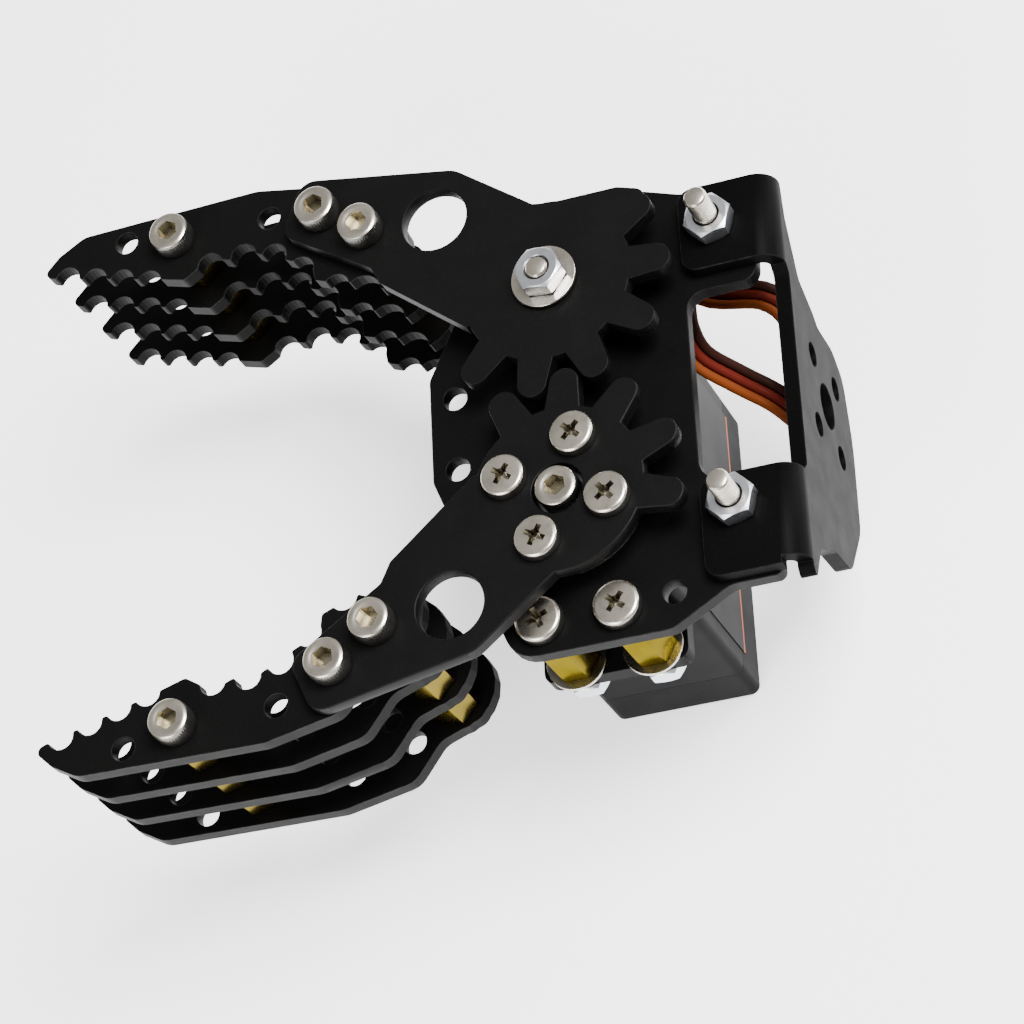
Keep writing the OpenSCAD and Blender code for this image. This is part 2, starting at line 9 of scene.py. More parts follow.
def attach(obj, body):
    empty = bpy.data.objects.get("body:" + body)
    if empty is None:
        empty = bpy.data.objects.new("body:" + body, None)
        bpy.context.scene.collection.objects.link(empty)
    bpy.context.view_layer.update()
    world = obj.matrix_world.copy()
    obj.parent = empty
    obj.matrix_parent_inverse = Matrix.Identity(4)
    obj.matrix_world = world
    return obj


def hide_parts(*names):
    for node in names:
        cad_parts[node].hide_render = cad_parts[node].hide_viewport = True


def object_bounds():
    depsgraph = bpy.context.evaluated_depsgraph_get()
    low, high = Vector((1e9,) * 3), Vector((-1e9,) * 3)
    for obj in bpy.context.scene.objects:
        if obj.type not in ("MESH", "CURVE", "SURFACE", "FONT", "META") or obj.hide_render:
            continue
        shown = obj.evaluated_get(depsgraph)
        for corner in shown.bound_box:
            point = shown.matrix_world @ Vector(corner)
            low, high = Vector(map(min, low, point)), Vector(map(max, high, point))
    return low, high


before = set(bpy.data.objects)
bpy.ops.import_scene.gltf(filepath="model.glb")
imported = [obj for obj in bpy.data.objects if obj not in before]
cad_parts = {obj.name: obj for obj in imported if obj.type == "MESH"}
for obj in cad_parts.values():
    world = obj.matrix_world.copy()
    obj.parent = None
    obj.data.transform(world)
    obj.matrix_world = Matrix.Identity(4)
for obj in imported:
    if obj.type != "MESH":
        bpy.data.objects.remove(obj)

CAD_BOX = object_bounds()
random.seed(11)

# object frame of part.scad's drawing (mm) -> row frame (m)
SX, SZ = 29.0, 15.0
HP = 14.6
REST = math.radians(21)


def W(x, y, z):
    return Vector(((x + SX) / 1000, y / 1000, (z + SZ) / 1000))


def jaw(a, b, side):
    x = a * math.cos(REST) - b * math.sin(REST)
    y = HP + a * math.sin(REST) + b * math.cos(REST)
    return x, side * y


# ---------------------------------------------------------------- camera
cam = bpy.data.cameras.new("camera")
cam.sensor_fit = "HORIZONTAL"
cam.sensor_width = 36.0
cam.lens = 122.37
cam.clip_start = 0.01
cam.clip_end = 10
camera = bpy.data.objects.new("camera", cam)
bpy.context.scene.collection.objects.link(camera)
right = Vector((-0.93126791, 0.04418114, -0.36164639))
down = Vector((0.20105164, 0.8901196, -0.40898085))
fwd = Vector((0.3038393, -0.45358034, -0.83782251))
m = Matrix.Identity(4)
for i in range(3):
    m[i][0], m[i][1], m[i][2] = right[i], -down[i], -fwd[i]
pos = W(-121.624, 206.914, 357.638)
for i in range(3):
    m[i][3] = pos[i]
camera.matrix_world = m
bpy.context.scene.camera = camera


# ---------------------------------------------------------------- node helpers
class Nodes:
    def __init__(self, name):
        self.mat = bpy.data.materials.new(name)
        self.mat.use_nodes = True
        self.t = self.mat.node_tree
        self.b = self.t.nodes["Principled BSDF"]

    def n(self, kind, **kw):
        node = self.t.nodes.new(kind)
        for k, v in kw.items():
            if k.startswith("i_"):
                node.inputs[k[2:].replace("_", " ")].default_value = v
            else:
                setattr(node, k, v)
        return node

    def link(self, a, b):
        self.t.links.new(a, b)

    def coords(self):
        return self.n("ShaderNodeTexCoord").outputs["Object"]

    def noise(self, scale, detail=3.0, rough=0.5, stretch=None, vec=None):
        v = vec or self.coords()
        if stretch:
            mp = self.n("ShaderNodeMapping")
            mp.inputs["Scale"].default_value = stretch
            self.link(v, mp.inputs["Vector"])
            v = mp.outputs["Vector"]
        t = self.n("ShaderNodeTexNoise")
        t.inputs["Scale"].default_value = scale
        t.inputs["Detail"].default_value = detail
        t.inputs["Roughness"].default_value = rough
        self.link(v, t.inputs["Vector"])
        return t.outputs["Fac"]

    def ramp(self, fac, stops):
        r = self.n("ShaderNodeValToRGB")
        e = r.color_ramp.elements
        while len(e) < len(stops):
            e.new(0.5)
        for el, (p, c) in zip(e, stops):
            el.position = p
            el.color = (*c, 1) if len(c) == 3 else c
        self.link(fac, r.inputs["Fac"])
        return r.outputs["Color"]

    def value(self, fac, lo, hi, a=0.0, b=1.0):
        r = self.n("ShaderNodeMapRange")
        r.inputs["From Min"].default_value = a
        r.inputs["From Max"].default_value = b
        r.inputs["To Min"].default_value = lo
        r.inputs["To Max"].default_value = hi
        self.link(fac, r.inputs["Value"])
        return r.outputs["Result"]

    def mix(self, fac, a, b, mode="MIX"):
        x = self.n("ShaderNodeMix", data_type="RGBA", blend_type=mode)
        for sock, v in ((x.inputs[0], fac), (x.inputs[6], a), (x.inputs[7], b)):
            if isinstance(v, (int, float)):
                sock.default_value = v
            elif isinstance(v, (tuple, list)):
                sock.default_value = (*v, 1)
            else:
                self.link(v, sock)
        return x.outputs[2]

    def edge(self, radius=0.0003, lo=0.02, hi=0.25):
        """1 along sharp edges, 0 on flat faces."""
        bv = self.n("ShaderNodeBevel", samples=4)
        bv.inputs["Radius"].default_value = radius
        g = self.n("ShaderNodeNewGeometry")
        d = self.n("ShaderNodeVectorMath", operation="DOT_PRODUCT")
        self.link(bv.outputs["Normal"], d.inputs[0])
        self.link(g.outputs["Normal"], d.inputs[1])
        return self.value(d.outputs["Value"], 1.0, 0.0, 1 - hi, 1 - lo)

    def bump(self, height, strength, distance, normal=None):
        b = self.n("ShaderNodeBump")
        b.inputs["Strength"].default_value = strength
        b.inputs["Distance"].default_value = distance
        self.link(height, b.inputs["Height"])
        if normal:
            self.link(normal, b.inputs["Normal"])
        return b.outputs["Normal"]

    def set(self, **kw):
        for k, v in kw.items():
            sock = self.b.inputs[k.replace("_", " ")]
            if isinstance(v, (int, float)):
                sock.default_value = v
            elif isinstance(v, (tuple, list)):
                sock.default_value = (*v, 1) if len(v) == 3 else v
            else:
                self.link(v, sock)
        return self.mat


def mat_black(name, base=0.0015, grain=1.0, edge_highlight_amount=1.0, spec=0.08):
    k = Nodes(name)
    fine = k.noise(5200, 2.0, 0.6)
    blot = k.noise(90, 4.0, 0.6)
    speck = k.noise(2600, 1.0, 0.5)
    c = k.ramp(blot, [(0.3, (base * 0.86, base * 0.87, base * 0.86)), (0.7, (base * 1.12, base * 1.1, base * 1.06))])
    c = k.mix(k.value(speck, 0.0, 0.35, 0.56, 0.75), c, (base * 2.2, base * 2.15, base * 2.1))
    # painted highlight: the colour is lightened along sharp edges, broken up by noise, in place of light caught on
    # the edges
    if edge_highlight_amount:
        edge_glint_mask = k.edge(0.00022, 0.03, 0.3)
        highlight_breakup = k.noise(700, 3.0, 0.6)
        f = k.n("ShaderNodeMath", operation="MULTIPLY")
        k.link(edge_glint_mask, f.inputs[0])
        k.link(k.value(highlight_breakup, 0.1, 0.8 * edge_highlight_amount, 0.35, 0.7), f.inputs[1])
        c = k.mix(f.outputs[0], c, (0.075, 0.075, 0.073))
    rough = k.value(k.noise(300, 3.0), 0.40, 0.54)
    nrm = k.bump(fine, 0.35 * grain, 0.00006)
    k.set(Base_Color=c, Roughness=rough, Metallic=0.0, Normal=nrm)
    k.b.inputs["IOR"].default_value = 1.45
    k.b.inputs["Specular IOR Level"].default_value = spec
    return k.mat


def mat_metal(name, colour, rough=(0.18, 0.34), brush=None, bump=0.12, tarnish=0.15, edge_highlight_colour=None):
    k = Nodes(name)
    big = k.noise(260, 4.0, 0.6)
    dark = tuple(v * (1 - tarnish) for v in colour)
    c = k.ramp(big, [(0.32, dark), (0.62, colour)])
    spots = k.noise(1500, 2.0, 0.6)
    c = k.mix(k.value(spots, 0.0, 0.3, 0.62, 0.8), c, tuple(v * 0.6 for v in colour))
    # painted highlight: a lighter colour along sharp edges through the Bevel-node mask
    if edge_highlight_colour:
        c = k.mix(k.edge(0.0002, 0.03, 0.3), c, edge_highlight_colour)
    # painted shade: the colour is darkened towards a tenth of itself in recesses and corners found by the AO node
    ao_painted_shade = k.n("ShaderNodeAmbientOcclusion", samples=6)
    ao_painted_shade.inputs["Distance"].default_value = 0.0016
    c = k.mix(k.value(ao_painted_shade.outputs["AO"], 0.85, 0.0, 0.25, 0.8), c, tuple(v * 0.10 for v in colour))
    fine = k.noise(3000, 2.0, 0.5, stretch=brush)
    k.set(Base_Color=c, Metallic=1.0, Roughness=k.value(k.noise(600, 3.0, 0.6, stretch=brush), *rough),
          Normal=k.bump(fine, bump, 0.00004))
    return k.mat


def mat_plastic(name, base, rough=(0.38, 0.55), grain=900, bump=0.2, edge_highlight_lift=0.0):
    k = Nodes(name)
    c = k.ramp(k.noise(60, 3.0), [(0.3, tuple(v * 0.85 for v in base)), (0.7, tuple(v * 1.15 for v in base))])
    dust = k.noise(2200, 2.0, 0.6)
    c = k.mix(k.value(dust, 0.0, 0.25, 0.6, 0.8), c, tuple(min(1, v * 2 + 0.004) for v in base))
    # painted highlight: the colour is lightened along sharp edges through the Bevel-node mask
    if edge_highlight_lift:
        c = k.mix(k.edge(0.0003, 0.03, 0.4), c, tuple(min(1, v + edge_highlight_lift) for v in base))
    k.set(Base_Color=c, Roughness=k.value(k.noise(200, 3.0), *rough), Normal=k.bump(k.noise(grain * 3, 2.0, 0.6), bump, 0.00005))
    k.b.inputs["Specular IOR Level"].default_value = 0.025
    return k.mat


M = {}
M["black"] = mat_black("black_coating")
M["black2"] = mat_black("black_coating_fingers", 0.0019)
M["black_link"] = mat_black("black_coating_links", 0.0017, edge_highlight_amount=0, spec=0.12)
M["black_bracket"] = mat_black("black_coating_bracket", 0.0016, spec=0.025)
M["nickel"] = mat_metal("nickel_plate", (0.64, 0.59, 0.50), (0.2, 0.36), tarnish=0.3)
M["nickel_side"] = mat_metal("nickel_plate_side_painted_shade", (0.22, 0.21, 0.19), (0.25, 0.4), tarnish=0.3)
M["recess"] = mat_metal("recess_painted_shade", (0.5, 0.45, 0.33), (0.2, 0.36), tarnish=0.4)
M["zinc"] = mat_metal("zinc_plate", (0.70, 0.72, 0.76), (0.22, 0.4), tarnish=0.25)
M["brass"] = mat_metal("brass_hex", (0.165, 0.13, 0.036), (0.16, 0.3), brush=(1, 1, 0.08), tarnish=0.18, edge_highlight_colour=(0.34, 0.26, 0.08))
# painted shade: a darker copy of the brass for the ear standoffs, which sit in shade under the base plate
M["brass_shaded"] = mat_metal("brass_hex_painted_shade", (0.11, 0.088, 0.022), (0.16, 0.3), brush=(1, 1, 0.08), tarnish=0.25, edge_highlight_colour=(0.22, 0.17, 0.05))
for _b in ("brass", "brass_shaded"):
    M[_b].node_tree.nodes["Principled BSDF"].inputs["Specular Tint"].default_value = (0.85, 0.73, 0.42, 1)
M["alloy"] = mat_metal("horn_alloy", (0.82, 0.82, 0.83), (0.25, 0.4))
M["steel"] = mat_metal("bare_steel", (0.6, 0.6, 0.6), (0.25, 0.45))
M["case"] = mat_plastic("servo_plastic", (0.004, 0.004, 0.0042), (0.35, 0.5), edge_highlight_lift=0.015)
M["case2"] = mat_plastic("servo_plastic_middle", (0.0045, 0.0045, 0.005), (0.3, 0.45), edge_highlight_lift=0.015)
M["board"] = mat_plastic("board_green", (0.02, 0.12, 0.05), (0.25, 0.4))
def mat_label():
    """Dark film with a thin orange rule along its lower edge, and nothing printed on it."""
    k = Nodes("label_film")
    sep = k.n("ShaderNodeSeparateXYZ")
    k.link(k.coords(), sep.inputs[0])
    z = sep.outputs["Z"]

    def band(lo, hi):
        a = k.n("ShaderNodeMath", operation="GREATER_THAN")
        k.link(z, a.inputs[0])
        a.inputs[1].default_value = lo
        b = k.n("ShaderNodeMath", operation="LESS_THAN")
        k.link(z, b.inputs[0])
        b.inputs[1].default_value = hi
        m_ = k.n("ShaderNodeMath", operation="MULTIPLY")
        k.link(a.outputs[0], m_.inputs[0])
        k.link(b.outputs[0], m_.inputs[1])
        return m_.outputs[0]
    c = k.ramp(k.noise(40, 3.0), [(0.3, (0.008, 0.008, 0.0085)), (0.7, (0.014, 0.0135, 0.014))])
    c = k.mix(band(-0.0206, -0.0202), c, (0.42, 0.10, 0.03))
    k.set(Base_Color=c, Roughness=k.value(k.noise(150, 3.0), 0.28, 0.42), Normal=k.bump(k.noise(350, 2.0), 0.08, 0.0001))
    k.b.inputs["Specular IOR Level"].default_value = 0.025
    return k.mat


M["label"] = mat_label()
M["rubber"] = mat_plastic("grommet_rubber", (0.02, 0.02, 0.02), (0.55, 0.7))
M["plug"] = mat_plastic("plug_plastic", (0.015, 0.015, 0.016), (0.35, 0.5))
M["brown"] = mat_plastic("wire_brown", (0.02, 0.007, 0.005), (0.3, 0.42), grain=500, bump=0.12)
M["red"] = mat_plastic("wire_red", (0.075, 0.010, 0.006), (0.3, 0.42), grain=500, bump=0.12)
M["orange"] = mat_plastic("wire_orange", (0.13, 0.03, 0.007), (0.3, 0.42), grain=500, bump=0.12)


# ---------------------------------------------------------------- mesh helpers
def new_object(name, bm, mats, smooth=35):
    me = bpy.data.meshes.new(name)
    bm.normal_update()
    bm.to_mesh(me)
    bm.free()
    for mt in mats:
        me.materials.append(mt)
    ob = bpy.data.objects.new(name, me)
    bpy.context.scene.collection.objects.link(ob)
    if smooth:
        for p in me.polygons:
            p.use_smooth = True
        me.set_sharp_from_angle(angle=math.radians(smooth))
    return ob


def revolve(bm, prof, seg=48, at=Matrix.Identity(4), mat=0):
    """prof is a list of (r, z) from bottom axis to top axis, mm."""
    rings = []
    for r, z in prof:
        if r < 1e-6:
            rings.append([bm.verts.new(at @ Vector((0, 0, z / 1000)))])
        else:
            rings.append([bm.verts.new(at @ Vector((r / 1000 * math.cos(2 * math.pi * i / seg), r / 1000 * math.sin(2 * math.pi * i / seg), z / 1000))) for i in range(seg)])
    for a, b in zip(rings, rings[1:]):
        for i in range(seg):
            j = (i + 1) % seg
            if len(a) == 1 and len(b) == 1:
                continue
            if len(a) == 1:
                f = bm.faces.new((a[0], b[j], b[i]))
            elif len(b) == 1:
                f = bm.faces.new((a[i], a[j], b[0]))
            else:
                f = bm.faces.new((a[i], a[j], b[j], b[i]))
            f.material_index = mat
    return rings


def cut(ob, cutter):
    md = ob.modifiers.new("cut", "BOOLEAN")
    md.operation = "DIFFERENCE"
    md.solver = "MANIFOLD"
    md.object = cutter
    bpy.context.view_layer.update()
    dg = bpy.context.evaluated_depsgraph_get()
    me = bpy.data.meshes.new_from_object(ob.evaluated_get(dg))
    ob.modifiers.clear()
    ob.data = me
    bpy.data.objects.remove(cutter)


def prism(bm, pts, z0, z1):
    a = [bm.verts.new((x / 1000, y / 1000, z0 / 1000)) for x, y in pts]
    b = [bm.verts.new((x / 1000, y / 1000, z1 / 1000)) for x, y in pts]
    n = len(pts)
    bm.faces.new(a[::-1])
    bm.faces.new(b)
    for i in range(n):
        bm.faces.new((a[i], a[(i + 1) % n], b[(i + 1) % n], b[i]))


def thread(r, z0, z1, pitch=0.5, depth=0.13):
    out = []
    z = z0
    while z + pitch <= z1:
        out += [(r - depth, z), (r, z + pitch * 0.42), (r, z + pitch * 0.58)]
        z += pitch
    out.append((r - depth, z))
    return out


def pan_head(r, h, shank):
    """Cross-recess pan head, seat at z = 0, shank down."""
    prof = [(0, -shank), (0.95, -shank), (1.25, -shank + 0.12), (1.44, -shank + 0.4)]
    prof += [(p, z) for p, z in thread(1.49, -shank + 0.4, -0.1)]
    prof += [(1.48, 0), (r - 0.08, 0), (r, 0.1), (r, 0.66 * h)]
    for i in range(1, 9):
        a = i / 8 * math.pi / 2
        prof.append((r - (r * 0.2) * (1 - math.cos(a)), 0.66 * h + 0.27 * h * math.sin(a)))
    prof += [(r * 0.5, h * 0.975), (0, h * 0.995)]
    bm = bmesh.new()
    revolve(bm, prof, 56)
    ob = new_object("tmp_pan", bm, [])
    w, L, d = 0.4, 1.7, 1.2
    for k in range(2):
        bm = bmesh.new()
        vs = []
        c, s_ = (1, 0) if k == 0 else (0, 1)
        for z, ll, ww in ((h + 0.4, L, w), (h - d, 0.7, 0.25)):
            for sx, sy in ((-1, -1), (1, -1), (1, 1), (-1, 1)):
                x, y = sx * ll, sy * ww
                vs.append(bm.verts.new(((x * c - y * s_) / 1000, (x * s_ + y * c) / 1000, z / 1000)))
        bm.faces.new(vs[0:4])
        bm.faces.new(vs[4:8][::-1])
        for i in range(4):
            j = (i + 1) % 4
            bm.faces.new((vs[j], vs[i], vs[4 + i], vs[4 + j]))
        bmesh.ops.recalc_face_normals(bm, faces=bm.faces)
        cut(ob, new_object("tmp_cut", bm, [], 0))
    # dimple in the middle of the cross
    bm = bmesh.new()
    revolve(bm, [(0, h - 1.35), (0.4, h - 1.15), (0.85, h + 0.3), (0, h + 0.3)], 20)
    cutter = new_object("tmp_cut", bm, [], 0)
    cut(ob, cutter)
    print("PAN", len(ob.data.vertices))
    me = ob.data
    bpy.data.objects.remove(ob)
    return me


def cap_head(shank, h=3.0, r=2.75):
    """Hexagon-socket cap screw, seat at z = 0, with fine knurling on the head's side."""
    bm = bmesh.new()
    seg = 96
    prof = [(0, -shank), (0.95, -shank), (1.25, -shank + 0.12), (1.44, -shank + 0.4)] + thread(1.49, -shank + 0.4, min(-0.1, -shank + 20)) + [(1.48, -0.02), (2.4, -0.0), (r - 0.12, 0.02), (r, 0.18), (r, h - 0.65), (r - 0.04, h - 0.42), (r - 0.13, h - 0.2), (r - 0.32, h - 0.05), (r - 0.6, h), (1.75, h), (1.6, h - 0.08), (0, h - 0.08)]
    rings = revolve(bm, prof, seg)
    for ring in rings:
        if len(ring) > 1:
            rr = ring[0].co.to_2d().length
            z = ring[0].co.z * 1000
            if 0.1 < z < h - 0.4 and rr > 0.0026:
                for i, v in enumerate(ring):
                    if i % 2:
                        v.co.x *= 0.977
                        v.co.y *= 0.977
    ob = new_object("tmp_cap", bm, [])
    bm = bmesh.new()
    prism(bm, [(1.45 * math.cos(math.radians(60 * i)), 1.45 * math.sin(math.radians(60 * i))) for i in range(6)], h - 1.6, h + 1)
    cut(ob, new_object("tmp_cut", bm, [], 0))
    me = ob.data
    bpy.data.objects.remove(ob)
    return me


def nut_mesh(h=2.4, af=5.5, bore=1.5):
    bm = bmesh.new()
    R = af / 2 / math.cos(math.radians(30))
    prism(bm, [(R * math.cos(math.radians(60 * i)), R * math.sin(math.radians(60 * i))) for i in range(6)], 0, h)
    ob = new_object("tmp_nut", bm, [])
    # chamfers: keep what is inside a double cone
    bm = bmesh.new()
    revolve(bm, [(0, -0.001), (af / 2 - 0.12, -0.001), (R + 0.1, 0.42), (R + 0.1, h - 0.42), (af / 2 - 0.12, h + 0.001), (0, h + 0.001)], 64)
    cone = new_object("tmp_cone", bm, [], 0)
    md = ob.modifiers.new("c", "BOOLEAN")
    md.operation = "INTERSECT"
    md.solver = "MANIFOLD"
    md.object = cone
    bpy.context.view_layer.update()
    dg = bpy.context.evaluated_depsgraph_get()
    me = bpy.data.meshes.new_from_object(ob.evaluated_get(dg))
    ob.modifiers.clear()
    ob.data = me
    bpy.data.objects.remove(cone)
    bm = bmesh.new()
    prof = [(0, -0.5), (bore + 0.25, -0.5), (bore + 0.25, 0.02), (bore + 0.03, 0.25)]
    prof += [(bore + 0.03, h - 0.25), (bore + 0.25, h - 0.02), (bore + 0.25, h + 0.5), (0, h + 0.5)]
    revolve(bm, prof, 40)
    cut(ob, new_object("tmp_cut", bm, [], 0))
    me = ob.data
    bpy.data.objects.remove(ob)
    return me


def place(name, node, body, meshes, mat):
    """meshes is a list of (mesh, matrix); joins them into one detailed piece for a CAD node."""
    bm = bmesh.new()
    for me, mx in meshes:
        tmp = me.copy()
        top = max(v.co.z for v in me.vertices) * 1000
        for p in tmp.polygons:
            r = p.center.xy.length * 1000
            z = p.center.z * 1000
            if "nut" in name:
                p.material_index = 0
            # painted shade: faces inside the cross or hex recess get the darker recess metal
            elif z > 0.05 and r < 1.78 and z < top - 0.11 * 1.8:
                p.material_index = 2
            # painted shade: the head's side faces get a darker copy of the nickel
            elif z > -0.05 and abs(p.normal.z) < 0.5 and r > 2.2:
                p.material_index = 1
            else:
                p.material_index = 0
        tmp.transform(mx)
        bm.from_mesh(tmp)
        bpy.data.meshes.remove(tmp)
    ob = new_object(name, bm, [mat, M["nickel_side"], M["recess"]] if "nut" not in name else [mat], 32)
    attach(ob, body)
    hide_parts(node)
    return ob


def T(x, y, z, ang=0.0, flip=False):
    mx = Matrix.Translation(W(x, y, z)) @ Matrix.Rotation(math.radians(ang), 4, "Z")
    if flip:
        mx = mx @ Matrix.Rotation(math.pi, 4, "X")
    return mx


# ---------------------------------------------------------------- the lead
LEAD = [(0, -17, -35.1), (0, -22, -35.1), (-3, -28, -32.5), (-8.5, -30.5, -25), (-11.5, -26.5, -16.5), (-15, -18.9, -13),
        (-22.4, -16.9, -13.4), (-25, -14.9, -17.6), (-25, -11, -25.5), (-25, -5, -26), (-25, -1, -20), (-22.8, -2.2, -14.2),
        (-18.6, -5.2, -12.6), (-14.2, -8.9, -11.5), (-12.5, -13.2, -11), (-12.2, -18, -10.9), (-11.3, -22.5, -11), (-8, -27, -11.5), (-1, -31.5, -14), (3.5, -35.5, -21),
        (7, -36.5, -28), (10, -33, -33.5), (11.8, -27, -36.8), (12.15, -19.5, -38.8)]
HANK = [(12.15, -12, -39.65), (12.15, -5, -39.65)]
cx, cyt, cyb, R = 19.65, -4.35, -42.65, 7.5
for d in range(157, 0, -23):
    HANK.append((cx + R * math.cos(math.radians(d)), cyt + R * math.sin(math.radians(d)), -39.65))
HANK += [(27.15, -8, -39.65), (27.15, -18, -39.65), (27.15, -28, -39.65), (27.15, -38, -39.65)]
for d in range(-5, -170, -25):
    HANK.append((cx + R * math.cos(math.radians(d)), cyb + R * math.sin(math.radians(d)), -39.65))
HANK += [(13.2, -41, -39.65), (14.3, -36, -39.6), (14.9, -31, -39.2), (16.2, -27, -37.6), (18.6, -24, -36.2), (19.65, -22.2, -35.95), (19.65, -21.4, -35.95)]


def catmull(pts, step):
    out = []
    n = len(pts)
    for i in range(n - 1):
        p = [Vector(pts[max(i - 1, 0)]), Vector(pts[i]), Vector(pts[i + 1]), Vector(pts[min(i + 2, n - 1)])]
        k = max(2, int(round((p[2] - p[1]).length / step)))
        for j in range(k):
            u = j / k
            out.append(0.5 * ((2 * p[1]) + (p[2] - p[0]) * u + (2 * p[0] - 5 * p[1] + 4 * p[2] - p[3]) * u * u + (3 * p[1] - p[0] - 3 * p[2] + p[3]) * u * u * u))
    out.append(Vector(pts[-1]))
    return out


path = catmull(LEAD + HANK, 1.3)
n = len(path)
tang = [(path[min(i + 1, n - 1)] - path[max(i - 1, 0)]).normalized() for i in range(n)]
cum = [0.0]
for a, b in zip(path, path[1:]):
    cum.append(cum[-1] + (b - a).length)
# which way the ribbon's width points: across the outlet, then flat to the viewer, then upright in the hank
wide = []
prev = Vector((1, 0, 0))
U0 = min(cum[i] for i in range(n) if (path[i] - Vector((-25, -14.9, -17.6))).length < 1.0)
U1 = min(cum[i] for i in range(n) if (path[i] - Vector((-25, -1, -20))).length < 1.0)
for i, p in enumerate(path):
    s = cum[i]
    if s < 12:
        want = Vector((1, 0, 0))
    elif s < 130:
        want = tang[i].cross(fwd)
        if want.length < 0.2:
            want = prev.copy()
        want.normalize()
    else:
        want = Vector((0, 0, 1))
    if want.dot(prev) < 0:
        want = -want
    cur = prev.lerp(want, 0.3)
    cur = (cur - tang[i] * cur.dot(tang[i])).normalized()
    prev = cur
    # half a twist where the ribbon turns back, out of sight
    q = min(1, max(0, (s - U0) / (U1 - U0)))
    wide.append(Matrix.Rotation(math.pi * (3 * q * q - 2 * q * q * q), 3, tang[i]) @ cur)
bm = bmesh.new()
seg = 10
for k, off in enumerate((-1.26, 0.0, 1.26)):
    rings = []
    for i, p in enumerate(path):
        w = wide[i]
        up = tang[i].cross(w).normalized()
        c = p + w * off
        rings.append([bm.verts.new(W(*(c + w * (0.64 * math.cos(2 * math.pi * j / seg)) + up * (0.6 * math.sin(2 * math.pi * j / seg))))) for j in range(seg)])
    for a, b in zip(rings, rings[1:]):
        for j in range(seg):
            f = bm.faces.new((a[j], a[(j + 1) % seg], b[(j + 1) % seg], b[j]))
            f.material_index = k
    bm.faces.new(rings[0][::-1])
    bm.faces.new(rings[-1])
bmesh.ops.recalc_face_normals(bm, faces=bm.faces)
lead = new_object("servo_lead", bm, [M["brown"], M["red"], M["orange"]], 60)
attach(lead, "frame")
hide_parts("lead_tube", "lead_hank")

# plug: three-way housing with its latch windows and end steps
bm = bmesh.new()
prism(bm, [(-3.82, 0), (3.82, 0), (3.82, 14), (-3.82, 14)], 0, 2.55)
plug = new_object("lead_plug_housing", bm, [M["plug"]], 30)
for i in range(3):
    bm = bmesh.new()
    x = (i - 1) * 2.54
    prism(bm, [(x - 0.55, 3.0), (x + 0.55, 3.0), (x + 0.55, 6.2), (x - 0.55, 6.2)], 1.9, 3.2)
    cut(plug, new_object("tmp_cut", bm, [], 0))
    bm = bmesh.new()
    prism(bm, [(x - 0.5, 9.0), (x + 0.5, 9.0), (x + 0.5, 15), (x - 0.5, 15)], 0.8, 1.8)
    cut(plug, new_object("tmp_cut", bm, [], 0))
plug.data.transform(Matrix.Translation(W(19.65, -22, -37.18)))
plug.data.materials.clear()
plug.data.materials.append(M["plug"])
bv = plug.modifiers.new("bevel", "BEVEL")
bv.width = 0.00018
bv.segments = 2
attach(plug, "frame")
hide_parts("lead_plug")
# tie round the hank
bm = bmesh.new()
outer = []
for r, x0, x1, z0, z1 in ((0, 9.85, 29.45, -41.55, -36.75),):
    pts = []
    for cxx, czz, a0 in ((x1 - 1.2, z1 - 1.2, 0), (x0 + 1.2, z1 - 1.2, 90), (x0 + 1.2, z0 + 1.2, 180), (x1 - 1.2, z0 + 1.2, 270)):
        for q in range(5):
            a = math.radians(a0 + 90 * q / 4)
            pts.append((cxx, czz, a))
    ro, rn = [], []
    for y in (-41.5, -39):
        ro.append([bm.verts.new(W(c0 + 1.2 * math.cos(a), y, c1 + 1.2 * math.sin(a))) for c0, c1, a in pts])
        rn.append([bm.verts.new(W(c0 + 0.8 * math.cos(a), y, c1 + 0.8 * math.sin(a))) for c0, c1, a in pts])
    q = len(pts)
    for j in range(q):
        jj = (j + 1) % q
        bm.faces.new((ro[0][j], ro[0][jj], ro[1][jj], ro[1][j]))
        bm.faces.new((rn[0][jj], rn[0][j], rn[1][j], rn[1][jj]))
        bm.faces.new((ro[0][jj], ro[0][j], rn[0][j], rn[0][jj]))
        bm.faces.new((ro[1][j], ro[1][jj], rn[1][jj], rn[1][j]))
bmesh.ops.recalc_face_normals(bm, faces=bm.faces)
tie = new_object("lead_tie_band", bm, [M["plug"]], 40)
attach(tie, "frame")
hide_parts("lead_tie")

# ---------------------------------------------------------------- fasteners
PAN = pan_head(2.8, 1.8, 4.4)
PAN_L = pan_head(3.0, 1.9, 6.0)
PAN_B = pan_head(2.8, 1.8, 11.0)
CAP7 = cap_head(7)
CAP9 = cap_head(8.5)
CAP31 = cap_head(31)
CAP29 = cap_head(29)
CAP12 = cap_head(11.6)
NUT = nut_mesh()

horn_pts = []
for a in (47, 137, 227, 317):
    x, y = 7 * math.cos(math.radians(a + 21)), HP + 7 * math.sin(math.radians(a + 21))
    horn_pts.append((PAN, T(x, y, 6.0, a + 15 * math.sin(a * 3.1))))
place("horn_screws_detail", "horn_screws", "driven_jaw", horn_pts, M["nickel"])
ears = [(x, y) for x in (-5, 5) for y in (HP - 35.1, HP + 14.4)]
place("ear_screws_detail", "ear_screws", "frame", [(PAN_L, T(x, y, 0, 20 + 31 * i)) for i, (x, y) in enumerate(ears)], M["nickel"])
place("bracket_bolts_detail", "bracket_bolts", "frame", [(PAN_B, T(-20.8, y, -2, 30, True)) for y in (-19.5, 19.5)], M["nickel"])
place("bracket_nuts_detail", "bracket_nuts", "frame", [(NUT, T(-20.8, y, 2, 14)) for y in (-19.5, 19.5)], M["zinc"])
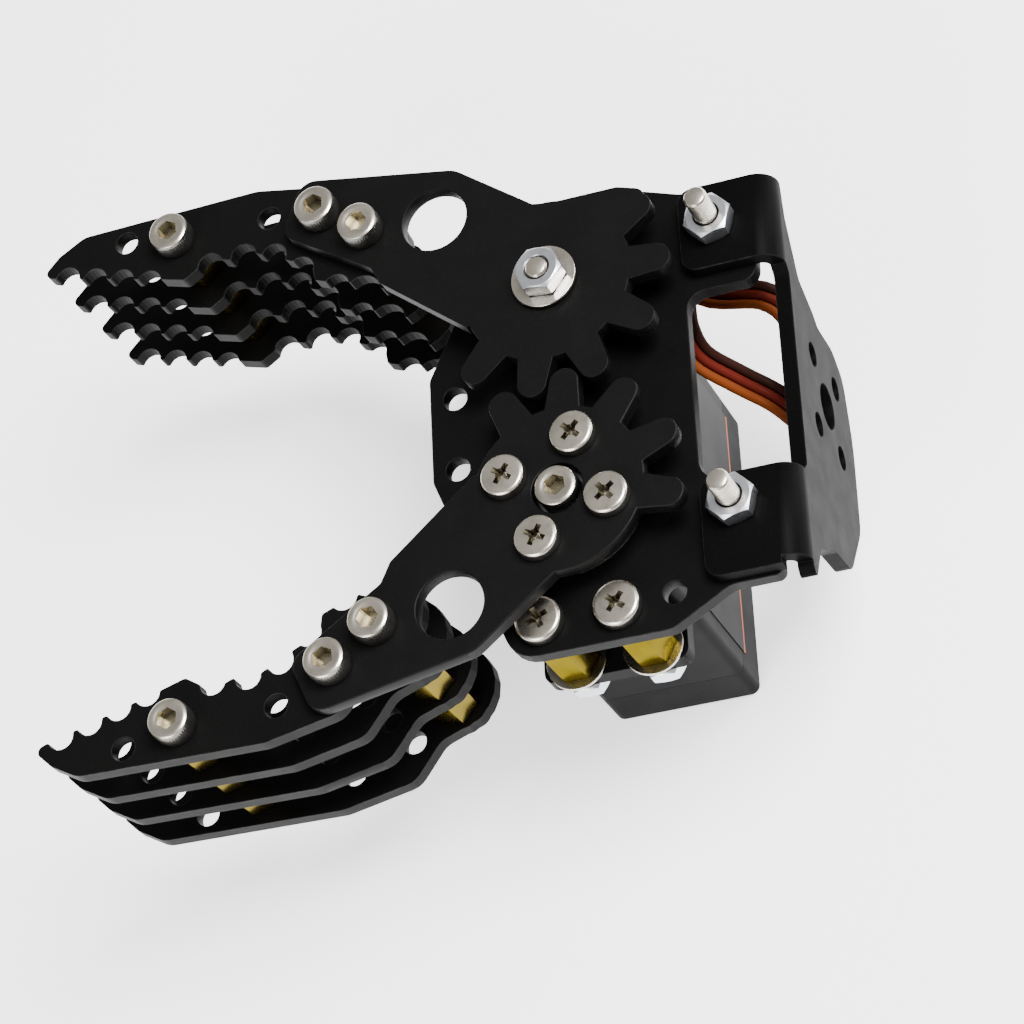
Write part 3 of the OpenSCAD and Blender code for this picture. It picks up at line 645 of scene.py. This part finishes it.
place("ear_nuts_detail", "ear_nuts", "frame", [(NUT, T(x, y, -17.4, 0)) for x, y in ears], M["zinc"])
place("horn_centre_screw_detail", "horn_centre_screw", "driven_jaw", [(CAP9, T(0, HP, 4.0, 35))], M["nickel"])
place("idler_bolt_detail", "idler_bolt", "frame", [(CAP12, T(0, -HP, -2, 0, True))], M["nickel"])
place("idler_nut_detail", "idler_nut", "frame", [(NUT, T(0, -HP, 6.85, -8))], M["zinc"])
for side, body, pre in ((1, "driven_jaw", "driven"), (-1, "idler_jaw", "idler")):
    A, B, F = jaw(34.2, 5.5, side), jaw(27.2, 3.8, side), jaw(55.5, 0.4, side)
    place(pre + "_short_screw_detail", pre + "_short_screw", body, [(CAP7, T(*A, 6, 33 * side))], M["nickel"])
    place(pre + "_long_bolts_detail", pre + "_long_bolts", body, [(CAP31, T(*B, 6, 61 * side)), (CAP29, T(*F, 4, 26 * side))], M["nickel"])
    place(pre + "_nuts_detail", pre + "_nuts", body, [(NUT, T(*A, -0.4, side * 31)), (NUT, T(*B, -24.4, side * 48)), (NUT, T(*F, -24.4, side * 76))], M["zinc"])

# ---------------------------------------------------------------- CAD nodes that stay
LOOK = {"base_plate": "black", "rear_bracket": "black_bracket", "driven_gear_link": "black_link", "idler_gear_link": "black_link",
        "ear_standoffs": "brass_shaded", "ear_washers": "nickel", "servo_case_upper": "case", "servo_case_middle": "case2", "servo_case_lower": "case",
        "servo_case_screws": "steel", "servo_shaft_bearing": "steel", "servo_motor": "steel", "servo_motor_pinion": "brass",
        "servo_circuit_board": "board", "servo_position_sensor": "board", "servo_lead_grommet": "rubber", "servo_blank_label": "label",
        "idler_spacer": "brass", "idler_washer": "nickel", "servo_output_shaft": "steel", "servo_horn": "alloy",
        "driven_spacers": "brass", "idler_spacers": "brass", "idler_bush": "brass"}
for s in ("driven", "idler"):
    for i in range(1, 5):
        LOOK[f"{s}_plate_{i}"] = "black2"
BEVEL = {"base_plate": 0.00022, "rear_bracket": 0.0003, "driven_gear_link": 0.00022, "idler_gear_link": 0.00022, "ear_standoffs": 0.00025,
         "servo_case_upper": 0.0004, "servo_case_middle": 0.0003, "servo_case_lower": 0.0005, "servo_horn": 0.0002,
         "driven_spacers": 0.00025, "idler_spacers": 0.00025, "ear_washers": 0.0001, "idler_washer": 0.0001}
for node, look in LOOK.items():
    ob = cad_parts[node]
    for sl in ob.material_slots:
        sl.material = M[look]
    if not ob.material_slots:
        ob.data.materials.append(M[look])
    wdt = BEVEL.get(node, 0.0002 if "_plate_" in node else 0)
    if wdt:
        wl = ob.modifiers.new("weld", "WELD")
        wl.merge_threshold = 0.000002
        dc = ob.modifiers.new("planar", "DECIMATE")
        dc.decimate_type = "DISSOLVE"
        dc.angle_limit = math.radians(0.5)
        bv = ob.modifiers.new("bevel", "BEVEL")
        bv.width = wdt
        bv.segments = 2
        bv.limit_method = "ANGLE"
        bv.angle_limit = math.radians(40)
        bv.use_clamp_overlap = True
        bv.harden_normals = True

# ---------------------------------------------------------------- stage and light
z_floor = CAD_BOX[0][2] if not isinstance(CAD_BOX, dict) else CAD_BOX["min"][2]
bm = bmesh.new()
for x, y in ((-3, -3), (3, -3), (3, 3), (-3, 3)):
    bm.verts.new((x, y, z_floor - 0.0001))
bm.faces.new(bm.verts)
k = Nodes("floor_pale")
k.set(Base_Color=k.ramp(k.noise(3, 3.0), [(0.3, (0.93, 0.93, 0.93)), (0.7, (0.96, 0.96, 0.96))]), Roughness=k.value(k.noise(20, 3.0), 0.8, 0.9),
      Emission_Color=(1.0, 1.0, 1.0), Emission_Strength=1.1)
floor = new_object("floor", bm, [k.mat], 0)
world = bpy.data.worlds.new("studio")
world.use_nodes = True
bpy.context.scene.world = world
bg = world.node_tree.nodes["Background"]
bg.inputs["Color"].default_value = (1.0, 1.0, 1.0, 1)
bg.inputs["Strength"].default_value = 0.5


def area(name, loc, size, power, target=(0.03, 0, 0)):
    li = bpy.data.lights.new(name, "AREA")
    li.shape = "DISK"
    li.size = size
    li.energy = power
    ob = bpy.data.objects.new(name, li)
    bpy.context.scene.collection.objects.link(ob)
    ob.location = loc
    d = Vector(target) - Vector(loc)
    ob.rotation_euler = d.to_track_quat("-Z", "Y").to_euler()
    return ob


area("key", (-0.4, -0.05, 0.8), 0.5, 24)
area("rim", (-0.66, -0.38, 0.26), 0.35, 5)
area("front", (0.35, 0.7, 0.45), 0.6, 9)
